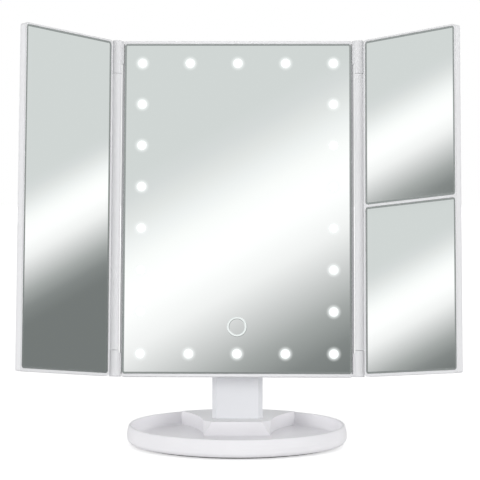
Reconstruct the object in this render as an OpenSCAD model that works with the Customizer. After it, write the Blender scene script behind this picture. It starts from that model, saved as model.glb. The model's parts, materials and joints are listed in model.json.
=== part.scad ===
// Trifold vanity mirror: a lighted centre mirror that tilts on a stem, two folding wing
// mirrors, and an oval tray base that holds the batteries in its raised island.
// X is to the right, Y points away from the viewer and Z is up. The origin is on the
// table, under the middle of the oval base. The head is drawn tilted and the wings half
// folded, as the mirror stands in use.

/* [Centre mirror] */
// Width of the centre glass
glass_w = 160; // [140:1:180]
// Height of the centre glass
glass_h = 233.5; // [200:0.5:260]
// Thickness of each mirror glass
glass_t = 2; // [1.5:0.1:3]
// Corner radius of each mirror glass
glass_corner_r = 2; // [1:0.5:4]
// How far the frames' lips stand in front of the glass
glass_recess = 0.3; // [0.1:0.1:1]
// Frame lip above and below the centre glass
end_lip = 2; // [1.5:0.1:4]
// Adhesive foam between the glass and its ledge
pad_t = 0.7; // [0.4:0.1:1.5]
// How far the frame steps back beside the centre glass
side_step = 2.2; // [1:0.1:2.6]
// Thickness of the ledge that carries the glass
ledge_t = 1.5; // [1:0.1:2.5]

/* [Housing] */
// Depth of the front frame of the head
frame_depth = 8; // [7.5:0.1:12]
// Depth that the back cover adds to the head
back_depth = 6; // [5:0.5:10]
// Wall of the head's shells
shell_wall = 1.8; // [1.4:0.1:2.4]
// Corner radius of the head and the wings, seen from the front
head_corner_r = 3; // [2.4:0.1:6]
// Rounding of the head's back edge
back_round = 3.5; // [2:0.5:5]
// Radius of the bosses for the back cover's screws
boss_r = 2.7; // [2.2:0.1:3.2]
// Distance of the end screws from the ends of the glass
screw_inset = 24; // [18:1:40]

/* [Lights and touch switch] */
// Lights across the top and bottom rows
led_columns = 5; // [3:1:7]
// Lights along the side columns
led_rows = 8; // [4:1:10]
// Distance of the outer lights from the sides of the glass
led_inset_x = 12.5; // [11:0.5:20]
// Distance of the outer lights from the ends of the glass
led_inset_z = 13.9; // [12:0.1:20]
// Diameter of the frosted window in front of each light
window_d = 6.8; // [5:0.1:10]
// Depth of the frosting
frost_depth = 0.4; // [0.2:0.1:0.8]
// Width of each light
led_size = 3.5; // [2.5:0.1:4.5]
// Height of each light on its board
led_t = 0.8; // [0.5:0.1:1.2]
// Thickness of the circuit boards
board_t = 1; // [0.6:0.1:1.6]
// Board beyond the centre of each light
board_margin = 3.9; // [3:0.1:6]
// Height of the touch ring's centre above the bottom of the glass
touch_z = 32.8; // [28:0.1:60]
// Diameter of the touch ring's centre line
touch_ring_d = 12.4; // [9:0.1:18]
// Width of the touch ring's line
touch_line = 1.7; // [1:0.1:3]

/* [Wings] */
// Distance of each hinge axis from the side of the centre glass
hinge_offset = 5.5; // [5:0.1:8]
// Radius of the hinge barrels
barrel_r = 3.3; // [2.8:0.1:3.6]
// How far the hinge axes lie in front of the frames
hinge_proud = 0.25; // [0.15:0.05:0.5]
// Gap between the hinge barrels and the head
barrel_gap = 0.4; // [0.3:0.05:0.8]
// Gap between the two wings when both are closed
closing_gap = 0.5; // [0.3:0.1:2]
// Thickness of a wing
wing_t = 6.4; // [5.6:0.1:9]
// Thickness of a wing's back cover
wing_cover_t = 2; // [1.6:0.1:2.4]
// Wing lip along the outer edge
wing_lip = 1.4; // [1.2:0.1:3]
// Wing lip along the hinge, with the gap behind the barrel
wing_inner_lip = 1.5; // [1.2:0.1:2]
// Wing lip above the glass
wing_top_lip = 1.2; // [1:0.1:3]
// Height of the bar between the right wing's two mirrors, above the bottom of the glass
divider_z = 117.3; // [80:0.1:150]
// Width of that bar
divider_w = 2; // [1.5:0.1:4]
// Left wing's fold, forward from flat
left_fold = 47.4; // [0:0.1:90]
// Right wing's fold, forward from flat
right_fold = 42.2; // [0:0.1:90]

/* [Wing hinges] */
// Length of the upper ear's knuckle
top_ear = 23.5; // [15:0.5:35]
// Length of the web that joins the upper ear to the head
top_web = 16.2; // [8:0.1:20]
// Length of the lower ear
bottom_ear = 18; // [12:0.5:30]
// Diameter of the wing hinge pins
wing_pin_d = 2.5; // [2:0.1:3]
// Length of a hinge pin inside the wing's barrel
pin_reach = 10; // [6:0.5:20]
// Wall left beyond the blind end of a pin hole
pin_end = 3; // [2:0.5:5]

/* [Tilt joint] */
// Tilt of the head, back from upright
tilt_rest = 12.5; // [0:0.1:30]
// Height of the tilt axis above the table
pivot_z = 90.7; // [88:0.1:110]
// Distance of the tilt axis behind the head's front
pivot_behind = 17.5; // [17.5:0.1:20]
// Height of the tilt axis above the bottom of the glass
pivot_up = 45.3; // [42:0.1:65]
// Diameter of the tilt pin
tilt_pin_d = 5; // [4:0.5:5]
// Thickness of the hinge cheeks beside the stem
cheek_t = 5.5; // [4:0.5:8]
// Radius of the hinge cheeks around the tilt pin
cheek_r = 7; // [6:0.5:9]
// Length of a cheek's foot on the back cover, above and below the pin
cheek_foot = 15; // [12:1:20]
// Thickness of the friction washers
washer_t = 0.8; // [0.5:0.1:1.5]
// Diameter of the friction washers
washer_d = 9; // [8:0.5:11]
// Clearance of the stem in the head's channel
channel_gap = 1.3; // [1:0.1:2]

/* [Stem] */
// Width of the stem
stem_w = 35.7; // [30:0.1:45]
// Thickness of the stem
stem_t = 12; // [10:0.5:14]
// Distance of the stem's middle behind the base's middle
stem_y = 23.4; // [20:0.1:30]
// Chamfer of the stem's front edges
stem_chamfer = 3; // [1:0.1:3.5]
// Wall of the stem
stem_wall = 2.2; // [1.8:0.1:3]
// Thickness of the stem's rear cover
stem_cover_t = 1.8; // [1.4:0.1:2.5]
// Solid part of the stem below the tilt axis
stem_head_h = 12; // [10:0.5:20]
// Distance of the stem cover's screws from the middle
stem_screw_x = 10.6; // [8:0.1:11]

/* [Base] */
// Half of the base's greatest width
base_a = 76.8; // [70:0.1:85]
// Half of the base's greatest depth
base_b = 60; // [57:0.1:66]
// Height of the rim above the table
rim_z = 14.2; // [13:0.1:20]
// Thickness of the tray's wall
tray_wall = 2.2; // [1.8:0.1:3]
// Height of the tray's floor above the table
floor_z = 5; // [4.6:0.1:6]
// Height of the base's underside above the table
under_z = 1.6; // [1:0.1:2.5]
// Thickness of the base's bottom cover
cover_t = 1.4; // [1.2:0.1:2]
// How far the rim is drawn in from the widest line
rim_in = 1.2; // [0.5:0.1:3]
// Radius of the wall's bottom corner
corner_r = 4.2; // [3:0.1:5]

/* [Island] */
// Distance of the island's front from the base's middle
island_y = 4.5; // [3:0.1:6]
// Half of the island's width at its front
island_half = 23.5; // [22.5:0.1:30]
// Radius of the island's hollow flanks
flank_r = 60; // [40:1:90]
// Wall of the island
island_wall = 1.5; // [1.2:0.1:2]
// Thickness of the island's deck
deck_t = 1.3; // [1:0.1:2]
// Slanted cut on the island's front corners, at the deck
facet = 6; // [2:0.5:9]

/* [Batteries and power] */
// Number of AAA cells
cells = 4; // [2:1:4]
// Diameter of a cell
cell_d = 10.3; // [9.8:0.1:10.5]
// Length of a cell
cell_l = 44.2; // [43:0.1:44.5]
// Space between two cells
cell_gap = 0.3; // [0.2:0.1:0.4]
// Distance of the power socket from the middle of the rear wall
socket_x = 34.3; // [33.5:0.1:35]
// Width of the power socket
socket_w = 7.5; // [7:0.1:9]
// Height of the power socket
socket_h = 2.7; // [2.4:0.1:3.4]
// Depth of the power socket
socket_d = 5.6; // [5:0.1:7]
// Diameter of the lead in the stem
lead_d = 2.2; // [1.6:0.1:2.4]

/* [Feet and switch] */
// Width of the rubber foot strip
foot_w = 4; // [3:0.5:8]
// Distance of the foot strip from the base's widest line
foot_inset = 9; // [7:0.5:14]
// Depth of the foot strip's groove in the bottom cover
foot_groove = 0.4; // [0.2:0.1:0.6]
// How far back the foot strip reaches
foot_back = 34; // [20:1:38]
// Width of the power switch's slot
switch_slot_w = 8; // [7:0.5:12]
// Height of the power switch's slot
switch_slot_h = 4; // [3:0.5:6]
// Width of the switch's slider
slider_w = 4; // [3:0.1:5]
// How far the slider stands out of the back
slider_out = 1; // [0.5:0.1:2]
// Height of the switch above the tilt axis
switch_up = 60; // [40:1:90]

/* [Fits] */
// Clearance round each mirror glass
glass_fit = 0.15; // [0.05:0.05:0.3]
// Clearance of the frosted areas in their pockets
frost_fit = 0.02; // [0.01:0.01:0.05]
// Radial clearance of a running pin
running_fit = 0.06; // [0.02:0.01:0.1]
// Radial clearance of a fixed pin or screw
fixed_fit = 0.02; // [0.01:0.01:0.05]
// Clearance of covers and doors in their openings
cover_fit = 0.2; // [0.1:0.05:0.3]
// Clearance behind the contact plates and above the bottom cover
seat_fit = 0.05; // [0.02:0.01:0.1]
// Gap between an ear and the wing's barrel
ear_gap = 0.3; // [0.2:0.05:0.6]

/* [Hidden] */
$fn = 96;
EPS = 0.01;

BODY_WHITE = "#F1F1F3";
STEM_GREY = "#DCDDE0";
STEEL = "#B9BCC0";
BOARD_WHITE = "#E9EEE8";

// Head, in its own frame: Y = 0 on the front of the lips, Z = 0 at the bottom of the glass
hinge_x = glass_w / 2 + hinge_offset;
head_half = hinge_x - barrel_r - barrel_gap;
head_low = -end_lip;
head_high = glass_h + end_lip;
head_depth = frame_depth + back_depth;
glass_back = glass_recess + glass_t;
ledge_y = glass_back + pad_t;
ledge_back = ledge_y + ledge_t;
board_lap = 0.9;
ledge_x = led_inset_x - board_margin + board_lap;
ledge_z = led_inset_z - board_margin + board_lap;
boss_lap = 0.5;
screw_x = head_half - shell_wall - boss_r + boss_lap;
screw_rows = [screw_inset, glass_h / 2, glass_h - screw_inset];
screw_d = 2.2;
screw_head_d = 4.2;
screw_head_t = 1.2;
screw_sink = 0.6;
screw_play = 0.4;
shell_corner_r = head_corner_r - 0.6;

// Power switch
collar_t = 0.4;
collar_y = head_depth - shell_wall - collar_t - 0.05;
track_half = switch_slot_w / 2 + 1.8;

// Tilt joint and channel
channel_half = stem_w / 2 + washer_t + running_fit;
channel_y = pivot_behind - stem_t / 2 - channel_gap;
channel_top = pivot_up + stem_t / 2 + channel_gap + 1;
cheek_out = channel_half + cheek_t;
pin_head_t = 1.8;
pin_head_d = tilt_pin_d + 3;
nut_t = 3;
nut_d = tilt_pin_d + 3.6;

// Wing, in its own frame: the hinge axis is Z, X runs outward and Y backward
wing_reach = hinge_x - closing_gap / 2;
wing_start = barrel_r + 0.7;
wing_corner_r = head_corner_r - 0.6;
bridge_y = hinge_proud + 0.3;
wing_glass_x = wing_start + wing_inner_lip;
wing_glass_w = wing_reach - wing_lip - wing_glass_x;
wing_glass_h = head_high - wing_top_lip;
wing_frame_t = wing_t - wing_cover_t;
wing_pad_t = pad_t - 0.2;
wing_round = 1.8;
lower_pane_h = divider_z - divider_w / 2;
upper_pane_z = divider_z + divider_w / 2;

// Base: an oval of four arcs that meet along the slanted sides of 3-4-5 triangles
arc_step = (base_a - base_b) / 2;
end_centre = 3 * arc_step;
side_centre = 4 * arc_step;
end_r = base_b - arc_step;
side_r = end_r + 5 * arc_step;
cover_z = under_z + cover_t;
cover_inset = corner_r + 0.8;
wall_in = rim_in + tray_wall;
cell_pitch = cell_d + cell_gap;
cell_slack = 0.15;
cell_z = cover_z + cell_slack + cell_d / 2;
deck_under = cell_z + cell_d / 2 + cell_slack;
deck_z = deck_under + deck_t;
bay_half = (cells * cell_pitch + cell_slack) / 2 + 0.7;
bay_front = island_y + island_wall;
contact_t = 0.4;
spring_gap = 0.7;
cells_front = bay_front + contact_t + spring_gap;
door_half = bay_half + 1;
door_front = island_y + 0.9;
shoulder_inner = bay_half + island_wall;
boss_x = shoulder_inner + 2.6;
boss_y = island_y + 28.5;
base_screw_l = 8;
base_screw_head_t = 0.8;
facet_wall = 1;
board_z = cover_z + 1.4;
socket_z = board_z + board_t;
mouth_in = 1.2;
mouth_gap = 0.4;
island_flank_x = island_half + flank_r;

// Stem
stem_bay_low = deck_z + 2.5;
stem_bay_high = pivot_z - stem_head_h;
stem_bay_half = stem_w / 2 - stem_wall;
stem_screw_z = stem_bay_high - 8;
post_d = 5;
foot_screw_y = stem_y - 0.9;
foot_post_h = 12;
lead_hole_d = lead_d + 1.4;
lead_drop = stem_head_h + 4;
lead_out_z = pivot_z - lead_drop;

// ---- Shared shapes ----

// Rectangle from low to high with rounded corners
module rounded_rect(low, high, r) {
    difference() {
        translate(low) square(high - low);
        for (sx = [0, 1], sy = [0, 1]) {
            corner = [sx ? high[0] : low[0], sy ? high[1] : low[1]];
            inward = [sx ? -1 : 1, sy ? -1 : 1];
            translate(corner) scale([inward[0], inward[1]]) difference() {
                translate([-1, -1]) square(r + 1);
                translate([r, r]) circle(r);
            }
        }
    }
}

// Upright plate: a rounded rectangle in X and Z, from y0 to y1
module upright_plate(low, high, y0, y1, r) {
    translate([0, y1, 0]) rotate([90, 0, 0]) linear_extrude(y1 - y0) rounded_rect(low, high, r);
}

// Profile with its two far corners rounded
module round_far_corners(w0, w1, y0, y1, r) {
    translate([w0, y0]) square([w1 - w0, y1 - r - y0]);
    translate([w0 + r, y0]) square([w1 - w0 - 2 * r, y1 - y0]);
    for (w = [w0 + r, w1 - r]) translate([w, y1 - r]) circle(r);
}

// Upright plate whose back edge is rounded all round
module soft_back_plate(low, high, y0, y1, r, back_r) {
    intersection() {
        upright_plate(low, high, y0, y1, r);
        translate([0, 0, low[1] - 1]) linear_extrude(high[1] - low[1] + 2)
            round_far_corners(low[0], high[0], y0, y1, back_r);
        translate([low[0] - 1, 0, 0]) rotate([90, 0, 90]) linear_extrude(high[0] - low[0] + 2)
            mirror([1, -1, 0]) round_far_corners(low[1], high[1], y0, y1, back_r);
    }
}

// Rod along Y
module y_rod(d, x, z, y0, y1) {
    translate([x, y1, z]) rotate([90, 0, 0]) cylinder(d = d, h = y1 - y0);
}

// Rod along X
module x_rod(d, y, z, x0, x1) {
    translate([x0, y, z]) rotate([0, 90, 0]) cylinder(d = d, h = x1 - x0);
}

// Solid of the base's oval whose outline is a list of [offset, height]
module oval_solid(outline) {
    for (s = [1, -1]) {
        oval_arc(outline, end_r, [s * end_centre, 0], [s * 3, -4], [s * 3, 4]);
        oval_arc(outline, side_r, [0, -s * side_centre], [-3, s * 4], [3, s * 4]);
    }
}

// One arc of the oval: a turned solid, kept between two directions from its centre
module oval_arc(outline, r, centre, from, to) {
    low = outline[0][1];
    high = outline[len(outline) - 1][1];
    edge = [for (p = outline) [r - p[0], p[1]]];
    intersection() {
        translate(centre) rotate_extrude($fn = 180) polygon(concat([[0, low]], edge, [[0, high]]));
        translate([0, 0, low - 1]) linear_extrude(high - low + 2)
            polygon([centre, centre + base_a * from, centre + base_a * to]);
    }
}

// Upright oval plate
module oval_plate(inset, z0, z1) {
    oval_solid([[inset, z0], [inset, z1]]);
}

// ---- Places ----

module in_head() {
    translate([0, stem_y, pivot_z]) rotate([-tilt_rest, 0, 0])
        translate([0, -pivot_behind, -pivot_up]) children();
}

module in_wing(side) {
    fold = side < 0 ? left_fold : right_fold;
    in_head() mirror([side < 0 ? 1 : 0, 0, 0]) translate([hinge_x, -hinge_proud, 0])
        rotate([0, 0, -fold]) children();
}

function light_places() = [
    for (i = [0 : led_columns - 1], j = [0 : led_rows - 1])
        if (i == 0 || i == led_columns - 1 || j == 0 || j == led_rows - 1) [
            -glass_w / 2 + led_inset_x + i * (glass_w - 2 * led_inset_x) / (led_columns - 1),
            led_inset_z + j * (glass_h - 2 * led_inset_z) / (led_rows - 1)
        ]
];

// ---- Head ----

module center_frame() {
    color(BODY_WHITE) in_head() {
        difference() {
            upright_plate([-head_half, head_low], [head_half, head_high], 0, frame_depth, head_corner_r);
            upright_plate([-glass_w / 2 - glass_fit, -glass_fit],
                [glass_w / 2 + glass_fit, glass_h + glass_fit], -1, ledge_y, glass_corner_r + glass_fit);
            upright_plate([-glass_w / 2 + ledge_x, ledge_z], [glass_w / 2 - ledge_x, glass_h - ledge_z],
                -1, frame_depth + 1, glass_corner_r);
            upright_plate([-head_half + shell_wall, head_low + shell_wall],
                [head_half - shell_wall, head_high - shell_wall], ledge_back, frame_depth + 1,
                shell_corner_r);
            for (s = [0, 1]) mirror([s, 0, 0]) translate([glass_w / 2, -1, 0])
                cube([head_half, 1 + side_step, glass_h]);
        }
        for (s = [-1, 1], z = screw_rows) difference() {
            y_rod(2 * boss_r, s * screw_x, z, ledge_back - EPS, frame_depth);
            y_rod(screw_d + 2 * fixed_fit, s * screw_x, z, ledge_back + 0.5, frame_depth + 1);
        }
        for (s = [0, 1]) mirror([s, 0, 0]) {
            hinge_ear(head_high - top_ear, head_high, head_high - top_web, head_high, 1);
            hinge_ear(head_low, head_low + bottom_ear, head_low, head_low + bottom_ear - 1.5, -1);
        }
    }
}

// Knuckle on the hinge axis and its web; the pin hole opens away from the head's end
module hinge_ear(low, high, web_low, web_high, end) {
    difference() {
        union() {
            translate([hinge_x, -hinge_proud, low]) cylinder(r = barrel_r, h = high - low);
            translate([head_half - 1, 0, web_low])
                cube([hinge_x - head_half + 1, barrel_r - hinge_proud, web_high - web_low]);
        }
        translate([hinge_x, -hinge_proud, end > 0 ? low - 1 : low + pin_end])
            cylinder(r = wing_pin_d / 2 + fixed_fit, h = high - low - pin_end + 1);
    }
}

module center_mirror() {
    color("#C4CCCB") in_head() difference() {
        upright_plate([-glass_w / 2, 0], [glass_w / 2, glass_h], glass_recess, glass_back, glass_corner_r);
        for (p = light_places())
            y_rod(window_d + 2 * frost_fit, p[0], p[1], 0, glass_recess + frost_depth);
        frosted_ring(frost_fit, 0);
    }
}

module light_windows() {
    color("#FBFEFF") in_head() for (p = light_places())
        y_rod(window_d, p[0], p[1], glass_recess, glass_recess + frost_depth);
}

// Ring between two circles, a little larger by fit, from y0 to the frosting's depth
module frosted_ring(fit, y0) {
    difference() {
        y_rod(touch_ring_d + touch_line + 2 * fit, 0, touch_z, y0, glass_recess + frost_depth);
        y_rod(touch_ring_d - touch_line - 2 * fit, 0, touch_z, y0 - 1, glass_back);
    }
}

module touch_ring() {
    color("#EEF2F2") in_head() frosted_ring(0, glass_recess);
}

module mirror_pad() {
    color("#4A4A4A") in_head() difference() {
        upright_plate([-glass_w / 2 + 1, 1], [glass_w / 2 - 1, glass_h - 1], glass_back, ledge_y,
            glass_corner_r);
        upright_plate([-glass_w / 2 + ledge_x, ledge_z], [glass_w / 2 - ledge_x, glass_h - ledge_z],
            0, head_depth, glass_corner_r);
    }
}

module led_board() {
    outer_x = glass_w / 2 - led_inset_x + board_margin;
    inner_x = outer_x - 2 * board_margin;
    outer_z = led_inset_z - board_margin;
    inner_z = led_inset_z + board_margin;
    color(BOARD_WHITE) in_head() difference() {
        upright_plate([-outer_x, outer_z], [outer_x, glass_h - outer_z], ledge_back,
            ledge_back + board_t, 1);
        upright_plate([-inner_x, inner_z], [inner_x, glass_h - inner_z], 0, head_depth, 1);
    }
}

module leds() {
    color("#F6E9B0") in_head() for (p = light_places())
        translate([p[0] - led_size / 2, ledge_back - led_t, p[1] - led_size / 2])
            cube([led_size, led_t, led_size]);
}

module touch_board() {
    half_w = 13;
    half_h = 11;
    chip = 6;
    color("#2F6B4A") in_head() {
        translate([-half_w, glass_back, touch_z - half_h]) cube([2 * half_w, board_t, 2 * half_h]);
        for (x = [-8, 2]) translate([x, glass_back + board_t - EPS, touch_z - chip / 2])
            cube([chip, 1, chip]);
    }
}

module center_back_cover() {
    inner_low = head_low + shell_wall;
    lead_hole_z = pivot_up - lead_drop - 4;
    channel_lip = head_depth - shell_wall - max(frame_depth, channel_y - shell_wall) + 0.2;
    color(BODY_WHITE) in_head() difference() {
        union() {
            difference() {
                soft_back_plate([-head_half, head_low], [head_half, head_high], frame_depth, head_depth,
                    head_corner_r, back_round);
                upright_plate([-head_half + shell_wall, inner_low],
                    [head_half - shell_wall, head_high - shell_wall], frame_depth - 1,
                    head_depth - shell_wall, shell_corner_r);
            }
            upright_plate([-channel_half - shell_wall, inner_low + cover_fit],
                [channel_half + shell_wall, channel_top + shell_wall], channel_y - shell_wall,
                head_depth - EPS, 1);
            translate([-channel_half - shell_wall, max(frame_depth, channel_y - shell_wall), head_low + 1])
                cube([2 * (channel_half + shell_wall), channel_lip, shell_wall + 1]);
            for (s = [-1, 1], z = screw_rows)
                y_rod(2 * boss_r + 0.4, s * screw_x, z, frame_depth, head_depth - shell_wall + EPS);
            for (s = [0, 1]) mirror([s, 0, 0]) tilt_cheek();
        }
        upright_plate([-channel_half, head_low - 5], [channel_half, channel_top], channel_y,
            pivot_behind + cheek_r + 1, 1);
        x_rod(tilt_pin_d + 2 * fixed_fit, pivot_behind, pivot_up, -cheek_out - 1, cheek_out + 1);
        // Scoops that clear the tilt pin's head and nut
        for (s = [0, 1]) mirror([s, 0, 0])
            x_rod(nut_d + 0.6, pivot_behind, pivot_up, cheek_out, cheek_out + nut_t + 2);
        for (s = [-1, 1], z = screw_rows) {
            y_rod(screw_d + 2 * fixed_fit, s * screw_x, z, frame_depth - 1, head_depth + 1);
            y_rod(screw_head_d + 2 * fixed_fit, s * screw_x, z,
                head_depth - screw_sink - screw_head_t, head_depth + 1);
        }
        y_rod(lead_hole_d, 0, lead_hole_z, channel_y - shell_wall - 1, channel_y + 1);
        translate([-switch_slot_w / 2, head_depth - shell_wall - 1, pivot_up + switch_up - switch_slot_h / 2])
            cube([switch_slot_w, shell_wall + 2, switch_slot_h]);
    }
}

// Cheek beside the channel: a round eye whose sides run straight down to the back cover.
// The sides end just inside the eye's edge.
module tilt_cheek() {
    r = cheek_r - 0.05;
    step = pivot_behind - head_depth;
    reach = norm([step, cheek_foot]);
    touch = acos(r / reach) - atan2(cheek_foot, -step);
    eye = [pivot_behind + r * cos(touch), r * sin(touch)];
    translate([channel_half - EPS, 0, pivot_up]) rotate([90, 0, 90]) linear_extrude(cheek_t + EPS)
        union() {
            polygon([[channel_y, -cheek_foot], [head_depth, -cheek_foot], [eye[0], eye[1]],
                [eye[0], -eye[1]], [head_depth, cheek_foot], [channel_y, cheek_foot]]);
            translate([pivot_behind, 0]) circle(cheek_r);
        }
}

module head_screws() {
    head_y = head_depth - screw_sink;
    color(STEEL) in_head() for (s = [-1, 1], z = screw_rows) difference() {
        union() {
            y_rod(screw_d, s * screw_x, z, ledge_back + 0.8, head_y - EPS);
            y_rod(screw_head_d, s * screw_x, z, head_y - screw_head_t, head_y);
        }
        for (turn = [0, 90]) translate([s * screw_x, head_y, z]) rotate([0, turn, 0])
            cube([2.4, 1.2, 0.6], center = true);
    }
}

// Slider whose collar runs behind the cover; it rests at the left end of its slot
module power_switch() {
    slot_play = 0.2;
    collar_lap = 1;
    color("#3A3B3D") in_head() translate([slot_play - switch_slot_w / 2, 0, pivot_up + switch_up]) {
        translate([0, collar_y + collar_t - EPS, slot_play - switch_slot_h / 2])
            cube([slider_w, head_depth + slider_out - collar_y - collar_t + EPS,
                switch_slot_h - 2 * slot_play]);
        translate([-collar_lap, collar_y, -switch_slot_h / 2 - collar_lap])
            cube([slider_w + 2 * collar_lap, collar_t, switch_slot_h + 2 * collar_lap]);
    }
}

module switch_housing() {
    rim = 1.2;
    depth = 3;
    half_w = track_half + rim;
    half_h = switch_slot_h / 2 + rim + 1.2;
    color("#26282A") in_head() translate([0, head_depth - shell_wall, pivot_up + switch_up]) difference() {
        translate([-half_w, -depth, -half_h]) cube([2 * half_w, depth, 2 * half_h]);
        translate([-track_half, collar_y - 0.05 - head_depth + shell_wall, rim - half_h])
            cube([2 * track_half, depth, 2 * (half_h - rim)]);
    }
}

// ---- Tilt joint ----

module tilt_pin() {
    color(STEEL) in_head() {
        x_rod(tilt_pin_d, pivot_behind, pivot_up, -cheek_out - EPS, cheek_out + nut_t + 0.6);
        x_rod(pin_head_d, pivot_behind, pivot_up, -cheek_out - pin_head_t, -cheek_out);
    }
}

module tilt_nut() {
    color(STEEL) in_head() difference() {
        translate([cheek_out, pivot_behind, pivot_up]) rotate([0, 90, 0])
            cylinder(d = nut_d, h = nut_t, $fn = 6);
        x_rod(tilt_pin_d + 2 * fixed_fit, pivot_behind, pivot_up, cheek_out - 1, cheek_out + nut_t + 1);
    }
}

module friction_washers() {
    color("#2B2B2D") in_head() for (s = [0, 1]) mirror([s, 0, 0]) difference() {
        x_rod(washer_d, pivot_behind, pivot_up, channel_half - washer_t, channel_half);
        x_rod(tilt_pin_d + 2 * fixed_fit, pivot_behind, pivot_up, 0, cheek_out);
    }
}

// ---- Wings ----

module hinge_pins(side) {
    length_top = top_ear - pin_end + pin_reach;
    length_bottom = bottom_ear - pin_end + pin_reach;
    color(STEEL) in_head() translate([side * hinge_x, -hinge_proud, 0]) {
        translate([0, 0, head_high - pin_end - length_top]) cylinder(d = wing_pin_d, h = length_top);
        translate([0, 0, head_low + pin_end]) cylinder(d = wing_pin_d, h = length_bottom);
    }
}

// Frame of a wing, with one pocket for each glass, given as [bottom, height]
module wing_frame(side, panes) {
    barrel_low = head_low + bottom_ear + ear_gap;
    barrel_high = head_high - top_ear - ear_gap;
    pin_hole = pin_reach - ear_gap + 0.6;
    pocket_y = hinge_proud + glass_recess + glass_t + wing_pad_t;
    color(BODY_WHITE) in_wing(side) difference() {
        union() {
            upright_plate([wing_start, head_low], [wing_reach, head_high], hinge_proud,
                hinge_proud + wing_frame_t, wing_corner_r);
            translate([0, 0, barrel_low]) cylinder(r = barrel_r, h = barrel_high - barrel_low);
            translate([0, bridge_y, barrel_low])
                cube([wing_start + EPS, barrel_r - bridge_y, barrel_high - barrel_low]);
        }
        for (p = panes) upright_plate([wing_glass_x - glass_fit, p[0] - glass_fit],
            [wing_glass_x + wing_glass_w + glass_fit, p[0] + p[1] + glass_fit], 0, pocket_y,
            glass_corner_r + glass_fit);
        for (z = [barrel_low - 1, barrel_high - pin_hole])
            translate([0, 0, z]) cylinder(r = wing_pin_d / 2 + running_fit, h = pin_hole + 1);
    }
}

module wing_back(side) {
    color(BODY_WHITE) in_wing(side)
        soft_back_plate([wing_start, head_low], [wing_reach, head_high], hinge_proud + wing_frame_t,
            hinge_proud + wing_t, wing_corner_r, wing_round);
}

module wing_glass(side, bottom, height) {
    front = hinge_proud + glass_recess;
    color("#C4CCCB") in_wing(side) upright_plate([wing_glass_x, bottom],
        [wing_glass_x + wing_glass_w, bottom + height], front, front + glass_t, glass_corner_r);
}

module wing_pad(side, bottom, height) {
    rim = 1.5;
    back = hinge_proud + glass_recess + glass_t;
    color("#4A4A4A") in_wing(side) upright_plate([wing_glass_x + rim, bottom + rim],
        [wing_glass_x + wing_glass_w - rim, bottom + height - rim], back, back + wing_pad_t, 1);
}

// ---- Stem ----

// Outline of the stem seen from above, front edges chamfered
module stem_outline() {
    x = stem_w / 2;
    y = stem_t / 2;
    back_cut = 1;
    polygon([[-x + stem_chamfer, -y], [x - stem_chamfer, -y], [x, -y + stem_chamfer], [x, y - back_cut],
        [x - back_cut, y], [-x + back_cut, y], [-x, y - back_cut], [-x, -y + stem_chamfer]]);
}

module stem_column() {
    cover_y = stem_y + stem_t / 2 - stem_cover_t;
    color(STEM_GREY) difference() {
        union() {
            difference() {
                intersection() {
                    translate([0, stem_y, deck_z])
                        linear_extrude(pivot_z + stem_t / 2 - deck_z) stem_outline();
                    union() {
                        translate([-stem_w, stem_y - stem_t, deck_z])
                            cube([2 * stem_w, 2 * stem_t, pivot_z - deck_z]);
                        x_rod(stem_t, stem_y, pivot_z, -stem_w, stem_w);
                    }
                }
                translate([-stem_bay_half, stem_y - stem_t / 2 + stem_wall, stem_bay_low])
                    cube([2 * stem_bay_half, stem_t, stem_bay_high - stem_bay_low]);
            }
            for (s = [-1, 1]) {
                y_rod(post_d, s * stem_screw_x, stem_screw_z, stem_y - stem_t / 2 + 1, cover_y);
                translate([s * stem_screw_x, foot_screw_y, deck_z]) cylinder(d = post_d + 1, h = foot_post_h);
            }
        }
        x_rod(tilt_pin_d + 2 * running_fit, stem_y, pivot_z, -stem_w, stem_w);
        for (s = [-1, 1]) {
            y_rod(screw_d + 2 * fixed_fit, s * stem_screw_x, stem_screw_z, stem_y - 2, cover_y + 1);
            translate([s * stem_screw_x, foot_screw_y, deck_z - 1])
                cylinder(d = screw_d + 2 * fixed_fit, h = foot_post_h - 3);
        }
        translate([0, stem_y, deck_z - 1]) cylinder(d = lead_hole_d, h = 4);
        y_rod(lead_hole_d, 0, lead_out_z, stem_y - stem_t, stem_y);
    }
}

module stem_cover() {
    color(STEM_GREY) difference() {
        translate([-stem_bay_half + cover_fit, stem_y + stem_t / 2 - stem_cover_t, stem_bay_low + cover_fit])
            cube([2 * (stem_bay_half - cover_fit), stem_cover_t,
                stem_bay_high - stem_bay_low - 2 * cover_fit]);
        for (s = [-1, 1]) {
            y_rod(screw_d + 2 * fixed_fit, s * stem_screw_x, stem_screw_z, stem_y, stem_y + stem_t);
            y_rod(screw_head_d + 2 * fixed_fit, s * stem_screw_x, stem_screw_z,
                stem_y + stem_t / 2 - screw_head_t, stem_y + stem_t);
        }
    }
}

module stem_screws() {
    head_y = stem_y + stem_t / 2;
    thin_head = 0.7;
    color(STEEL) for (s = [-1, 1]) {
        y_rod(screw_d, s * stem_screw_x, stem_screw_z, stem_y - 1.6, head_y - EPS);
        y_rod(screw_head_d, s * stem_screw_x, stem_screw_z, head_y - screw_head_t, head_y);
        translate([s * stem_screw_x, foot_screw_y, deck_under - thin_head]) {
            cylinder(d = screw_head_d, h = thin_head);
            cylinder(d = screw_d, h = thin_head + deck_t + 6);
        }
    }
}

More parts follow.
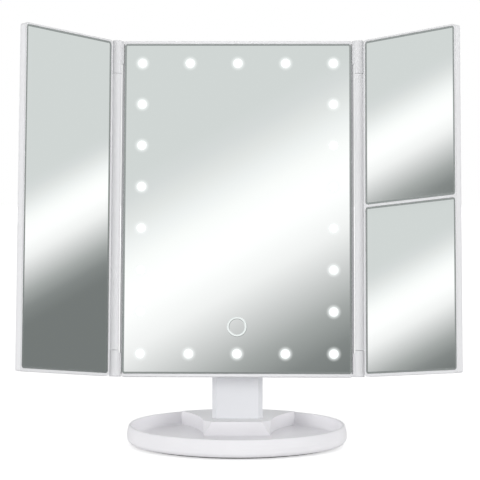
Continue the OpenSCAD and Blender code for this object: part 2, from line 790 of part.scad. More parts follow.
// Lead from the battery contacts through the deck and up the stem, out to the head
module power_lead() {
    bend = 2;
    run_z = deck_under - lead_d / 2 - 0.1;
    color("#E8E8EA") {
        y_rod(lead_d, 0, run_z, bay_front + contact_t, stem_y - bend);
        translate([0, stem_y - bend, run_z + bend]) rotate([90, 0, 90]) rotate([0, 0, -90])
            rotate_extrude(angle = 90, $fn = 48) translate([bend, 0]) circle(d = lead_d);
        translate([0, stem_y, run_z + bend]) cylinder(d = lead_d, h = lead_out_z - run_z - 2 * bend);
        translate([0, stem_y - bend, lead_out_z - bend]) rotate([90, 0, 90])
            rotate_extrude(angle = 90, $fn = 48) translate([bend, 0]) circle(d = lead_d);
        y_rod(lead_d, 0, lead_out_z, stem_y - stem_t / 2 - 0.4, stem_y - bend);
    }
}

// ---- Base ----

// Outer wall from its bottom corner up to the rim, as [offset, height]
function outer_wall() = concat(
    [for (a = [0 : 15 : 75]) [corner_r - corner_r * sin(a), under_z + corner_r - corner_r * cos(a)]],
    [[0, under_z + corner_r + 0.6], [0, under_z + corner_r + 2], [rim_in * 0.35, rim_z - 3.6],
        [rim_in, rim_z - 0.7], [rim_in + 0.6, rim_z]]
);

// Inside of the tray, from its floor up past the rim, as [offset, height]
function inner_wall() = let (foot = 2.2) concat(
    [for (a = [0 : 18 : 90]) [wall_in + 0.6 + foot - foot * sin(a), floor_z + foot - foot * cos(a)]],
    [[wall_in, rim_z - 0.6], [wall_in - 0.5, rim_z], [wall_in - 0.5, rim_z + 5]]
);

// Island seen from above: flanks are hollow arcs that flare to the rear wall
module island_outline(inset) {
    difference() {
        translate([-base_a, island_y + inset]) square([2 * base_a, base_b]);
        for (s = [-1, 1]) {
            translate([s * island_flank_x, island_y]) circle(r = flank_r + inset, $fn = 180);
            translate([s * island_flank_x - (s > 0 ? 0 : base_a), island_y - 2 * flank_r])
                square([base_a, 5 * flank_r]);
            translate([s > 0 ? island_half - inset : -island_half + inset - base_a, island_y - flank_r])
                square([base_a, flank_r + inset]);
        }
    }
}

// Space before a facet on each front corner, which grows from the floor up to the deck
module facet_space(depth) {
    lean = atan2(facet * sin(45), deck_z - floor_z);
    for (s = [-1, 1]) translate([s * island_half, island_y, floor_z]) rotate([0, 0, s * 45])
        rotate([-lean, 0, 0]) translate([-facet * 2, -facet, -facet])
            cube([facet * 4, facet + depth, base_a]);
}

module island() {
    difference() {
        intersection() {
            translate([0, 0, floor_z - 1]) linear_extrude(deck_z - floor_z + 1) island_outline(0);
            oval_solid([[wall_in - 0.8, 0], [wall_in - 0.8, rim_z - 1], [wall_in + 0.25, rim_z - 1],
                [wall_in + 0.25, deck_z + 1]]);
        }
        facet_space(0);
    }
}

module base_tray() {
    color(BODY_WHITE) difference() {
        union() {
            difference() {
                oval_solid(outer_wall());
                oval_solid(inner_wall());
            }
            island();
        }
        oval_plate(cover_inset, under_z - 1, cover_z + seat_fit);
        // Battery bay and the hollows in the island's two shoulders
        difference() {
            intersection() {
                translate([-bay_half, bay_front, under_z])
                    cube([2 * bay_half, base_b, deck_under - under_z]);
                oval_plate(cover_inset, 0, deck_z);
            }
            facet_space(facet_wall);
        }
        intersection() {
            translate([0, 0, under_z]) linear_extrude(deck_under - under_z) difference() {
                island_outline(island_wall);
                translate([-shoulder_inner, 0]) square([2 * shoulder_inner, base_b]);
                for (s = [-1, 1]) translate([s * boss_x, boss_y]) circle(d = 6);
            }
            oval_plate(cover_inset, 0, deck_z);
        }
        for (s = [-1, 1]) {
            translate([s * boss_x, boss_y, under_z])
                cylinder(d = screw_d + 2 * fixed_fit, h = base_screw_l + 1);
            translate([s * stem_screw_x, foot_screw_y, deck_under - 1])
                cylinder(d = screw_d + screw_play, h = deck_t + 2);
        }
        translate([0, stem_y, deck_under - 1]) cylinder(d = lead_hole_d, h = deck_t + 2);
        at_socket() translate([-socket_w / 2 - mouth_gap, -socket_d - mouth_in - 0.2, socket_z - mouth_gap])
            cube([socket_w + 2 * mouth_gap, 2 * socket_d, socket_h + 2 * mouth_gap]);
    }
}

// Rear wall at the power socket, Y outward, with Y = 0 on the widest line
module at_socket() {
    translate([0, -side_centre, 0]) rotate([0, 0, -asin(socket_x / side_r)])
        translate([0, side_r, 0]) children();
}

module cover_plan() {
    oval_plate(cover_inset + cover_fit, under_z, cover_z);
}

module base_cover() {
    color(BODY_WHITE) difference() {
        union() {
            difference() {
                cover_plan();
                translate([-door_half - cover_fit, door_front - cover_fit, under_z - 1])
                    cube([2 * (door_half + cover_fit), base_b, cover_t + 2]);
            }
            at_socket() for (x = [-2.5, 2]) translate([x, -9, cover_z - EPS])
                cylinder(d = 2.6, h = board_z - cover_z + EPS);
        }
        foot_shape(under_z - 1, under_z + foot_groove, 0.1);
        for (s = [-1, 1]) translate([s * boss_x, boss_y, 0]) {
            cylinder(d = screw_d + screw_play, h = base_b);
            translate([0, 0, under_z - 1]) cylinder(d = screw_head_d + screw_play, h = base_screw_head_t + 1);
        }
    }
}

module battery_door() {
    back = base_b - cover_inset;
    grip_w = 16;
    color(BODY_WHITE) difference() {
        intersection() {
            cover_plan();
            translate([-door_half, door_front, under_z - 1]) cube([2 * door_half, base_b, cover_t + 2]);
        }
        // Thumb scoop and grip lines
        x_rod(14, back - 3, under_z - 6.4, -6, 6);
        for (i = [0 : 3])
            translate([-grip_w / 2, back - 12 - 2.2 * i, under_z - 1]) cube([grip_w, 1, 1.4]);
    }
}

module battery_cells() {
    nub_d = 4;
    nub_l = 1;
    color("#4C6B57") for (i = [0 : cells - 1]) {
        x = (i - (cells - 1) / 2) * cell_pitch;
        flip = i % 2;
        y_rod(cell_d, x, cell_z, cells_front + (flip ? nub_l : 0), cells_front + cell_l - (flip ? 0 : nub_l));
        y_rod(nub_d, x, cell_z, cells_front, cells_front + cell_l);
    }
}

module battery_contacts() {
    plate_w = 7;
    plate_h = 6;
    color(STEEL) for (i = [0 : cells - 1]) translate([(i - (cells - 1) / 2) * cell_pitch, 0, cell_z]) {
        translate([-plate_w / 2, bay_front + seat_fit, -plate_h / 2]) cube([plate_w, contact_t, plate_h]);
        y_rod(5, 0, 0, bay_front + contact_t - EPS, cells_front);
        translate([-plate_w / 2, cells_front + cell_l, -plate_h / 2]) cube([plate_w, contact_t, plate_h]);
    }
}

module usb_socket() {
    shell = 0.4;
    color(STEEL) at_socket() translate([0, -mouth_in - socket_d, socket_z]) difference() {
        translate([-socket_w / 2, 0, 0]) cube([socket_w, socket_d, socket_h]);
        translate([-socket_w / 2 + shell, 1, shell])
            cube([socket_w - 2 * shell, socket_d, socket_h - 2 * shell]);
    }
}

module power_board() {
    front = 5.2;
    depth = 6.2;
    color("#2F6B4A") at_socket() translate([-5, -front - depth, board_z]) cube([9, depth, board_t]);
}

module base_screws() {
    color(STEEL) for (s = [-1, 1]) translate([s * boss_x, boss_y, under_z]) {
        cylinder(d = screw_head_d, h = base_screw_head_t);
        cylinder(d = screw_d, h = base_screw_l);
    }
}

// Strip that follows the oval round the front and both sides
module foot_shape(z0, z1, grow) {
    difference() {
        oval_plate(foot_inset - grow, z0, z1);
        oval_plate(foot_inset + foot_w + grow, z0 - 1, z1 + 1);
        translate([-base_a, foot_back + grow, z0 - 1]) cube([2 * base_a, base_b, z1 - z0 + 2]);
    }
}

module foot_strip() {
    color("#5A5C5E") foot_shape(0, under_z + foot_groove, 0);
}

center_frame();
center_mirror();
light_windows();
touch_ring();
mirror_pad();
led_board();
leds();
touch_board();
center_back_cover();
head_screws();
power_switch();
switch_housing();
tilt_pin();
tilt_nut();
friction_washers();
hinge_pins(-1);  // left_hinge_pins
hinge_pins(1);  // right_hinge_pins
wing_frame(-1, [[0, wing_glass_h]]);  // left_wing_frame
wing_back(-1);  // left_wing_back
wing_glass(-1, 0, wing_glass_h);  // left_mirror
wing_pad(-1, 0, wing_glass_h);  // left_mirror_pad
wing_frame(1, [[0, lower_pane_h], [upper_pane_z, wing_glass_h - upper_pane_z]]);  // right_wing_frame
wing_back(1);  // right_wing_back
wing_glass(1, upper_pane_z, wing_glass_h - upper_pane_z);  // right_upper_mirror
wing_glass(1, 0, lower_pane_h);  // right_lower_mirror
union() {  // right_mirror_pads
    wing_pad(1, 0, lower_pane_h);
    wing_pad(1, upper_pane_z, wing_glass_h - upper_pane_z);
}
stem_column();
stem_cover();
stem_screws();
power_lead();
base_tray();
base_cover();
battery_door();
battery_cells();
battery_contacts();
usb_socket();
power_board();
base_screws();
foot_strip();
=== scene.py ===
"""Dresses the trifold vanity mirror: panes, lit windows, fasteners, finishes and stage."""

import json
import math

import bmesh
import bpy
from mathutils import Matrix, Vector


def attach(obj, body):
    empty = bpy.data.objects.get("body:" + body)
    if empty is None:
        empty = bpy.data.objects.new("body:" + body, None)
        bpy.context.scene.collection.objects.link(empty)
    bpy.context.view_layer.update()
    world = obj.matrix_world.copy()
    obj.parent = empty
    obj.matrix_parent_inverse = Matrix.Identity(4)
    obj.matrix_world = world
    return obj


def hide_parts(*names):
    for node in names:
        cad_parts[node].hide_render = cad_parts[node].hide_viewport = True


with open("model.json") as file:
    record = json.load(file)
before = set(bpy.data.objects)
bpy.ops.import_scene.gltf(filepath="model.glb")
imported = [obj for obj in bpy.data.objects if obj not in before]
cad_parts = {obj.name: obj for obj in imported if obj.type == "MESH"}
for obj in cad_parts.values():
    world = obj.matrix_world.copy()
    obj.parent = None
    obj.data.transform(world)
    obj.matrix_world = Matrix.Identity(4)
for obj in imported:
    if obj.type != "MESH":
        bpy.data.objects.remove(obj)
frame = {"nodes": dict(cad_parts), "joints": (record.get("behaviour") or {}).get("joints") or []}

bl_info = {
    "name": "Trifold vanity mirror",
    "version": (1, 0, 0),
    "blender": (4, 5, 0),
    "location": "3D View > Sidebar > Vanity mirror",
    "description": "Panes, lit windows, fasteners, finishes and stage of a lighted trifold mirror",
    "category": "Object",
}

MM = 0.001
# Side of the square frame, in the pixels that the camera and the studio cards are measured in
FRAME_PX = 480


# ---- Places, read from the frame ----


def joint(name):
    return next(j for j in frame["joints"] if j["name"] == name)


def hinge_place(name, turn):
    """Frame of a wing: its origin on the hinge axis, Z along the axis and X along the pane."""
    return Matrix.Translation(joint(name)["pos_m"]) @ LEAN @ Matrix.Rotation(turn, 4, "Z")


LEAN = Matrix.Rotation(math.radians(joint("head_tilt")["range_deg"][0]), 4, "X")
HEAD = Matrix.Translation(joint("head_tilt")["pos_m"]) @ LEAN
LEFT = hinge_place("left_wing_fold", math.radians(-joint("left_wing_fold")["range_deg"][0]))
RIGHT = hinge_place("right_wing_fold", math.radians(joint("right_wing_fold")["range_deg"][0]))
PLAIN = Matrix.Identity(4)
# Turns that point the Z axis of a piece at the viewer, the rear, the floor, the left and the right
FORWARD = Matrix.Rotation(math.pi / 2, 4, "X")
REARWARD = Matrix.Rotation(-math.pi / 2, 4, "X")
DOWNWARD = Matrix.Rotation(math.pi, 4, "X")
LEFTWARD = Matrix.Rotation(-math.pi / 2, 4, "Y")
RIGHTWARD = Matrix.Rotation(math.pi / 2, 4, "Y")


def solids(name, place=PLAIN):
    """Lowest and highest corner of each solid of a CAD node, measured in the frame of place."""
    shape = bmesh.new()
    shape.from_mesh(frame["nodes"][name].data)
    bmesh.ops.remove_doubles(shape, verts=shape.verts, dist=0.0005 * MM)
    bmesh.ops.transform(shape, matrix=place.inverted(), verts=shape.verts)
    boxes, left = [], set(shape.verts)
    while left:
        corners, edge = [], [left.pop()]
        while edge:
            v = edge.pop()
            corners.append(v.co[:])
            near = {e.other_vert(v) for e in v.link_edges} & left
            left -= near
            edge.extend(near)
        boxes.append((Vector(map(min, zip(*corners))), Vector(map(max, zip(*corners)))))
    shape.free()
    return sorted(boxes, key=lambda box: box[0][:])


def whole(name, place=PLAIN):
    """Lowest and highest corner of a whole CAD node, measured in the frame of place."""
    lows, highs = zip(*solids(name, place))
    return Vector(map(min, zip(*lows))), Vector(map(max, zip(*highs)))


# ---- Colours and nodes ----


def linear(code):
    """The linear RGBA of an sRGB hex colour."""
    parts = [int(code[i:i + 2], 16) / 255 for i in (1, 3, 5)]
    return [c / 12.92 if c <= 0.04045 else ((c + 0.055) / 1.055) ** 2.4 for c in parts] + [1.0]


def between(code, other, share):
    """The hex colour that lies a share of the way from one hex colour to another."""
    pairs = [(int(code[i:i + 2], 16), int(other[i:i + 2], 16)) for i in (1, 3, 5)]
    return "#" + "".join("%02X" % round(a + (b - a) * share) for a, b in pairs)


def add(tree, kind, settings=None, stops=(), **inputs):
    """Adds a node. An input is named like its socket, with _ for a space, or i and its number."""
    made = tree.nodes.new(kind)
    for name, value in (settings or {}).items():
        setattr(made, name, value)
    for name, value in inputs.items():
        socket = made.inputs[int(name[1:]) if name[1:].isdigit() else name.replace("_", " ")]
        if isinstance(value, bpy.types.NodeSocket):
            tree.links.new(value, socket)
        else:
            socket.default_value = value
    for i, (position, colour) in enumerate(stops):
        stop = made.color_ramp.elements[i] if i < 2 else made.color_ramp.elements.new(position)
        stop.position, stop.color = position, colour
    return made


def new_material(name):
    """An empty material, its tree, its shader and its Object coordinates in metres."""
    made = bpy.data.materials.new(name)
    made.use_nodes = True
    tree = made.node_tree
    tree.nodes.clear()
    coords = add(tree, "ShaderNodeTexCoord").outputs["Object"]
    shader = add(tree, "ShaderNodeBsdfPrincipled")
    add(tree, "ShaderNodeOutputMaterial", Surface=shader.outputs["BSDF"])
    return made, tree, shader, coords


def mottle(tree, shader, coords, code, size_mm, spread):
    """Base colour that a noise with blobs of size_mm darkens by up to spread; gives the noise."""
    noise = add(tree, "ShaderNodeTexNoise", Vector=coords, Scale=1 / (size_mm * MM), Detail=3.0)
    tone = add(tree, "ShaderNodeMapRange", Value=noise.outputs["Fac"], To_Min=1.0 - spread)
    tint = add(tree, "ShaderNodeVectorMath", {"operation": "SCALE"}, Vector=linear(code)[:3],
               Scale=tone.outputs[0])
    tree.links.new(tint.outputs[0], shader.inputs["Base Color"])
    return noise.outputs["Fac"]


def relief(tree, shader, height, depth_mm, edge_mm):
    """Bump of depth_mm over a height pattern, on edges that are round to edge_mm."""
    edge = add(tree, "ShaderNodeBevel", {"samples": 6}, Radius=edge_mm * MM)
    bump = add(tree, "ShaderNodeBump", Distance=depth_mm * MM, Height=height,
               Normal=edge.outputs["Normal"])
    tree.links.new(bump.outputs["Normal"], shader.inputs["Normal"])


# ---- Materials ----


def moulded_abs(name, code, roughness, edge_mm):
    """Injection-moulded ABS: even colour, a soft sheen and slightly round mould edges."""
    made, tree, shader, coords = new_material(name)
    shader.inputs["IOR"].default_value = 1.53
    # Faint clouding of the resin, 18 mm across
    mottle(tree, shader, coords, code, size_mm=18, spread=0.025)
    # The tool's spark texture is too fine to see; it shows as a little spread in the gloss
    spark = add(tree, "ShaderNodeTexNoise", Vector=coords, Scale=1 / (0.6 * MM), Detail=4.0)
    gloss = add(tree, "ShaderNodeMapRange", Value=spark.outputs["Fac"], To_Min=roughness - 0.04,
                To_Max=roughness + 0.04)
    tree.links.new(gloss.outputs[0], shader.inputs["Roughness"])
    # Sink marks some 12 mm across bend the highlights a little
    sink = add(tree, "ShaderNodeTexNoise", Vector=coords, Scale=1 / (12 * MM), Detail=1.0)
    relief(tree, shader, sink.outputs["Fac"], depth_mm=0.03, edge_mm=edge_mm)
    return made


def silvered_glass(name, code):
    """Float glass silvered on its back: a clear, nearly perfect reflection, slightly cool."""
    made, tree, shader, coords = new_material(name)
    shader.inputs["Base Color"].default_value = linear(code)
    shader.inputs["Metallic"].default_value = 1.0
    # A breath of polish haze, in patches a hand's width across
    haze = add(tree, "ShaderNodeTexNoise", Vector=coords, Scale=1 / (60 * MM), Detail=3.0)
    rough = add(tree, "ShaderNodeMapRange", Value=haze.outputs["Fac"], To_Min=0.015, To_Max=0.035)
    tree.links.new(rough.outputs[0], shader.inputs["Roughness"])
    return made


def lit_glass(name, code, light, centres, core, reach):
    """Silvered glass with lit windows at centres: round each its light spreads in the glass.

    The windows stand in a grid whose inner places are empty; the light is full up to core and
    ends at reach from a window's middle.
    """
    made = silvered_glass(name, code)
    tree = made.node_tree
    shader = tree.nodes["Principled BSDF"]
    coords = tree.nodes["Texture Coordinate"].outputs["Object"]
    columns, rows = [sorted({round(c[axis], 6) for c in centres}) for axis in (0, 2)]
    width, height = columns[-1] - columns[0], rows[-1] - rows[0]
    step_x, step_z = width / (len(columns) - 1), height / (len(rows) - 1)
    first = HEAD @ Vector((columns[0], centres[0].y, rows[0]))
    place = add(tree, "ShaderNodeMapping", {"vector_type": "TEXTURE"}, Vector=coords,
                Location=first, Rotation=HEAD.to_euler())
    split = add(tree, "ShaderNodeSeparateXYZ", Vector=place.outputs[0])
    x, z = split.outputs["X"], split.outputs["Z"]
    aside = add(tree, "ShaderNodeMath", {"operation": "PINGPONG"}, i0=x, i1=step_x / 2).outputs[0]
    above = add(tree, "ShaderNodeMath", {"operation": "PINGPONG"}, i0=z, i1=step_z / 2).outputs[0]
    away = add(tree, "ShaderNodeVectorMath", {"operation": "LENGTH"},
               i0=add(tree, "ShaderNodeCombineXYZ", X=aside, Z=above).outputs[0])
    share = add(tree, "ShaderNodeMapRange", {"interpolation_type": "SMOOTHSTEP"},
                Value=away.outputs["Value"], From_Min=reach, From_Max=core)
    middle = [add(tree, "ShaderNodeMath", {"operation": "COMPARE"}, i0=v, i1=span / 2,
                  i2=(span - step) / 2).outputs[0] for v, span, step in (
                      (x, width, step_x), (z, height, step_z))]
    empty = add(tree, "ShaderNodeMath", {"operation": "MULTIPLY"}, i0=middle[0], i1=middle[1])
    halo = add(tree, "ShaderNodeMath", {"operation": "SUBTRACT", "use_clamp": True},
               i0=share.outputs[0], i1=empty.outputs[0]).outputs[0]
    tint = add(tree, "ShaderNodeMix", {"data_type": "RGBA"}, i0=halo, i6=linear(code),
               i7=linear("#000000"))
    tree.links.new(tint.outputs[2], shader.inputs["Base Color"])
    tree.links.new(halo, shader.inputs["Emission Strength"])
    shader.inputs["Emission Color"].default_value = linear(light)
    return made


def ground_edge(name, code):
    """Ground bevel of a silvered pane: greyer than the pane, with a satin shine."""
    made, tree, shader, coords = new_material(name)
    shader.inputs["Metallic"].default_value = 1.0
    shader.inputs["Roughness"].default_value = 0.25
    # The wheel leaves chatter marks some 3 mm apart
    mottle(tree, shader, coords, code, size_mm=3, spread=0.1)
    return made


def frosted_light(name, code, glow):
    """Etched glass lit from behind: white light that fades into the mirror towards the rim."""
    made, tree, shader, coords = new_material(name)
    shader.inputs["Emission Color"].default_value = linear(code)
    rim = add(tree, "ShaderNodeAttribute", {"attribute_name": "glow"}).outputs["Fac"]
    share = add(tree, "ShaderNodeMapRange", {"interpolation_type": "SMOOTHSTEP"},
                Value=rim).outputs[0]
    power = add(tree, "ShaderNodeMath", {"operation": "MULTIPLY"}, i0=share, i1=glow)
    tree.links.new(power.outputs[0], shader.inputs["Emission Strength"])
    # Where the silver is gone, the etching itself is matt and a dull grey
    own = add(tree, "ShaderNodeMix", {"data_type": "RGBA"}, i0=share, i6=linear(code),
              i7=linear("#7C8281"))
    tree.links.new(own.outputs[2], shader.inputs["Base Color"])
    silver = add(tree, "ShaderNodeMapRange", Value=share, To_Min=1.0, To_Max=0.0)
    tree.links.new(silver.outputs[0], shader.inputs["Metallic"])
    matt = add(tree, "ShaderNodeMapRange", Value=share, To_Min=0.03, To_Max=0.4)
    tree.links.new(matt.outputs[0], shader.inputs["Roughness"])
    # Etching grit of 0.5 mm, coarser than the real one so that it shows
    grit = add(tree, "ShaderNodeTexNoise", Vector=coords, Scale=1 / (0.5 * MM))
    bump = add(tree, "ShaderNodeBump", Distance=0.01 * MM, Height=grit.outputs["Fac"])
    tree.links.new(bump.outputs["Normal"], shader.inputs["Normal"])
    return made


def plated_steel(name, code, roughness):
    """Zinc-plated steel: bright grey metal with a fine, cloudy plating."""
    made, tree, shader, coords = new_material(name)
    shader.inputs["Metallic"].default_value = 1.0
    cloud = mottle(tree, shader, coords, code, size_mm=1.5, spread=0.12)
    gloss = add(tree, "ShaderNodeMapRange", Value=cloud, To_Min=roughness, To_Max=roughness + 0.1)
    tree.links.new(gloss.outputs[0], shader.inputs["Roughness"])
    relief(tree, shader, cloud, depth_mm=0.005, edge_mm=0.12)
    return made


def grained(name, code, roughness, size_mm, depth_mm, spread, edge_mm=0.15):
    """A matt finish with a fine grain: rubber, foam, acetal, solder mask or a PVC jacket."""
    made, tree, shader, coords = new_material(name)
    shader.inputs["Roughness"].default_value = roughness
    relief(tree, shader, mottle(tree, shader, coords, code, size_mm, spread), depth_mm, edge_mm)
    return made


# ---- Mesh helpers ----


def piece(name, shape, place, body, materials, replaced):
    """Finishes a bmesh made in the frame of place as an object at the origin, riding on body.

    Like the solids that it stands for, the panes don't mirror it.
    """
    bmesh.ops.transform(shape, matrix=place, verts=shape.verts)
    mesh = bpy.data.meshes.new(name)
    shape.to_mesh(mesh)
    shape.free()
    for material in materials:
        mesh.materials.append(material)
    made = bpy.data.objects.new(name, mesh)
    bpy.context.scene.collection.objects.link(made)
    made.visible_glossy = False
    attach(made, body)
    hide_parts(replaced)
    return made


def carried(material, *names):
    """Gives CAD nodes their finish."""
    for name in names:
        slots = frame["nodes"][name].data.materials
        slots.clear()
        slots.append(material)


def join(shape, part, place, material=0):
    """Turns a closed part's faces outwards, puts it in its place and adds it to the shape."""
    bmesh.ops.recalc_face_normals(part, faces=part.faces)
    bmesh.ops.transform(part, matrix=place, verts=part.verts)
    for face in part.faces:
        face.material_index = material
    mesh = bpy.data.meshes.new("part")
    part.to_mesh(mesh)
    part.free()
    shape.from_mesh(mesh)
    bpy.data.meshes.remove(mesh)


def border(part):
    """The open edges of a part."""
    return [e for e in part.edges if e.is_boundary or e.is_wire]


def grow(shape, edges, move):
    """Extrudes a border, moves the copy's corners with move and gives the new border."""
    made = bmesh.ops.extrude_edge_only(shape, edges=edges)["geom"]
    for v in made:
        if isinstance(v, bmesh.types.BMVert):
            v.co = move(v.co)
    return [e for e in made if isinstance(e, bmesh.types.BMEdge) and e.is_boundary]


def ring(radius, height):
    """A move of grow: out or in to a circle about Z."""
    return lambda co: Vector((*(co.xy.normalized() * radius), height))


def turned(shape, place, profile, material=0, steps=36):
    """Turns a profile of (radius, height) points in mm about the Z axis of place."""
    part = bmesh.new()
    verts = [part.verts.new((r * MM, 0, z * MM)) for r, z in profile]
    edges = [part.edges.new(pair) for pair in zip(verts, verts[1:])]
    bmesh.ops.spin(part, geom=verts + edges, cent=(0, 0, 0), axis=(0, 0, 1), angle=2 * math.pi,
                   steps=steps, use_merge=True)
    bmesh.ops.remove_doubles(part, verts=part.verts, dist=0.001 * MM)
    join(shape, part, place, material)


def screw(shape, place, head_r, head_t, shank_r, length, arm):
    """Pan-head screw with a cross recess; its top is at the origin of place, its shank along -Z.

    All sizes are in metres; arm is the reach of the recess from the middle.
    """
    recess = 0.35 * MM
    half_slot = 0.28 * MM
    part = bmesh.new()
    grid = bmesh.ops.create_grid(part, x_segments=3, y_segments=3, size=1)["verts"]
    for v in grid:
        v.co = [math.copysign(arm if abs(c) > 0.5 else half_slot, c) for c in v.co.xy] + [-recess]
    corners = [v for v in grid if min(abs(v.co.x), abs(v.co.y)) > half_slot * 1.01]
    bmesh.ops.delete(part, geom=corners, context="VERTS")
    bmesh.ops.subdivide_edges(part, edges=border(part), cuts=2)
    edges = border(part)
    for move in (
        lambda co: Vector((co.x, co.y, -0.04 * MM)),
        lambda co: Vector((co.x * 1.04, co.y * 1.04, 0)),
        ring(arm + 0.3 * (head_r - arm), -0.02 * head_t),
        ring(arm + 0.75 * (head_r - arm), -0.2 * head_t),
        ring(head_r - 0.02 * MM, -0.5 * head_t),
        ring(head_r, -0.7 * head_t),
        ring(head_r, -head_t),
        ring(shank_r, -head_t),
        ring(shank_r, 0.4 * MM - length),
        ring(0.7 * shank_r, -length),
    ):
        edges = grow(part, edges, move)
    bmesh.ops.contextual_create(part, geom=edges)
    join(shape, part, place)


def nut(shape, place, across_corners, height, bore_r):
    """Hexagon nut that stands on the origin of place, a corner on its X axis; sizes in metres."""
    corner_r = across_corners / 2
    flat_r = corner_r * math.cos(math.pi / 6)
    lip = 0.25 * MM

    def hexagon(lift):
        def move(co):
            turn = math.atan2(co.y, co.x) % (math.pi / 3) - math.pi / 6
            radius = flat_r / math.cos(turn)
            cut = math.tan(math.pi / 6) * (radius - flat_r)
            return Vector((*(co.xy.normalized() * radius), lift(cut)))
        return move

    part = bmesh.new()
    verts = bmesh.ops.create_circle(part, segments=24, radius=corner_r)["verts"]
    lower = hexagon(lambda cut: cut)
    for v in verts:
        v.co = lower(v.co)
    edges = border(part)
    for move in (hexagon(lambda cut: height - cut), ring(0.97 * flat_r, height),
                 ring(bore_r + lip, height), ring(bore_r, height - lip), ring(bore_r, lip),
                 ring(bore_r + lip, 0), ring(0.97 * flat_r, 0), lower):
        edges = grow(part, edges, move)
    bmesh.ops.remove_doubles(part, verts=part.verts, dist=0.001 * MM)
    join(shape, part, place)


def plate(low, high, back, front, corner):
    """A part: an upright plate with rounded corners, inside a box; gives it and its front face."""
    part = bmesh.new()
    verts = [part.verts.new((x, back, z)) for x, z in (
        (low.x, low.z), (high.x, low.z), (high.x, high.z), (low.x, high.z))]
    part.faces.new(verts)
    bmesh.ops.bevel(part, geom=verts, offset=corner, segments=6, profile=0.5, affect="VERTICES",
                    material=-1)
    return part, drawn(part, part.faces[:], front)


def drawn(part, faces, y):
    """Extrudes a face to y and gives the copy."""
    made = bmesh.ops.extrude_face_region(part, geom=faces)["geom"]
    far = next(g for g in made if isinstance(g, bmesh.types.BMFace))
    for v in far.verts:
        v.co.y = y
    return far


# ---- Settings ----


class PaneSettings(bpy.types.PropertyGroup):
    """Sizes of the mirror panes and their lit windows"""
    corner: bpy.props.FloatProperty(
        name="Pane corner", description="Corner radius of the panes", default=2.0 * MM,
        subtype="DISTANCE")
    bevel_width: bpy.props.FloatProperty(
        name="Bevel width", description="Width of the ground bevel round a pane",
        default=1.3 * MM, subtype="DISTANCE")
    bevel_drop: bpy.props.FloatProperty(
        name="Bevel drop", description="How far the bevel falls at the pane's edge",
        default=0.5 * MM, subtype="DISTANCE")
    ring_line: bpy.props.FloatProperty(
        name="Ring line", description="Width of the touch ring's line", default=1.7 * MM,
        subtype="DISTANCE")
    proud: bpy.props.FloatProperty(
        name="Etching height", description="How far the etched areas stand out", default=0.05 * MM,
        subtype="DISTANCE")
    core: bpy.props.FloatProperty(
        name="Core", description="How far a window is fully lit, from its middle",
        default=1.65 * MM, subtype="DISTANCE")
    reach: bpy.props.FloatProperty(
        name="Reach", description="How far a window's light spreads in the glass, from its middle",
        default=5.9 * MM, subtype="DISTANCE")


class FinishSettings(bpy.types.PropertyGroup):
    """Colours of the finishes, as sRGB hex values, and the strength of the lit windows"""
    body: bpy.props.StringProperty(
        name="Body", description="Mouldings of the head", default="#EFEFF1")
    # Lighter than the body's white: partly the base's own lavender tint, partly painted bounce
    # light from the white floor
    base: bpy.props.StringProperty(
        name="Base", description="Mouldings of the base", default="#F4F3F6")
    stem: bpy.props.StringProperty(
        name="Stem", description="Mouldings of the stem", default="#ECEDF0")
    silver: bpy.props.StringProperty(
        name="Silver", description="Silvering", default="#F7F9F8")
    edge: bpy.props.StringProperty(
        name="Edge", description="Ground glass edges", default="#B8BCBB")
    light: bpy.props.StringProperty(
        name="Light", description="Lit windows", default="#FBFFFE")
    glow: bpy.props.FloatProperty(
        name="Glow", description="Strength of the lit windows", default=0.95)
    steel: bpy.props.StringProperty(
        name="Steel", description="Screws and pins", default="#B9BCC0")
    dark: bpy.props.StringProperty(
        name="Dark parts", description="Switch and washers", default="#2C2D2F")


class StageSettings(bpy.types.PropertyGroup):
    """Lamps, floor and camera"""
    floor: bpy.props.StringProperty(
        name="Floor", description="Floor colour", default="#F4F4F4")
    lift: bpy.props.FloatProperty(
        name="Lift", description="Light that whitens the floor seen directly", default=0.5)
    sky: bpy.props.FloatProperty(
        name="Sky", description="Strength of the even light", default=0.45)
    cards: bpy.props.FloatProperty(
        name="Cards", description="Brightness of what the panes mirror", default=1.08)
    key: bpy.props.FloatProperty(
        name="Key", description="Power of the key lamp, W", default=36.0)
    fill: bpy.props.FloatProperty(
        name="Fill", description="Power of the fill lamp, W", default=40.0)
    rear: bpy.props.FloatProperty(
        name="Rear", description="Power of the rear lamp, W", default=10.0)
    eye: bpy.props.FloatVectorProperty(
        name="Camera", description="Where the camera stands", size=3, subtype="TRANSLATION",
        default=(26.7 * MM, -1466.9 * MM, 289.05 * MM))
    pitch: bpy.props.FloatProperty(
        name="Pitch", description="How far the camera looks down", subtype="ANGLE",
        default=math.radians(5.67))
    yaw: bpy.props.FloatProperty(
        name="Yaw", description="How far the camera is turned to the left", subtype="ANGLE",
        default=math.radians(0.957))
    focal: bpy.props.FloatProperty(
        name="Focal length", description="Focal length in frame widths", default=2128.7 / FRAME_PX)


# ---- Finishes of the carried-over solids ----


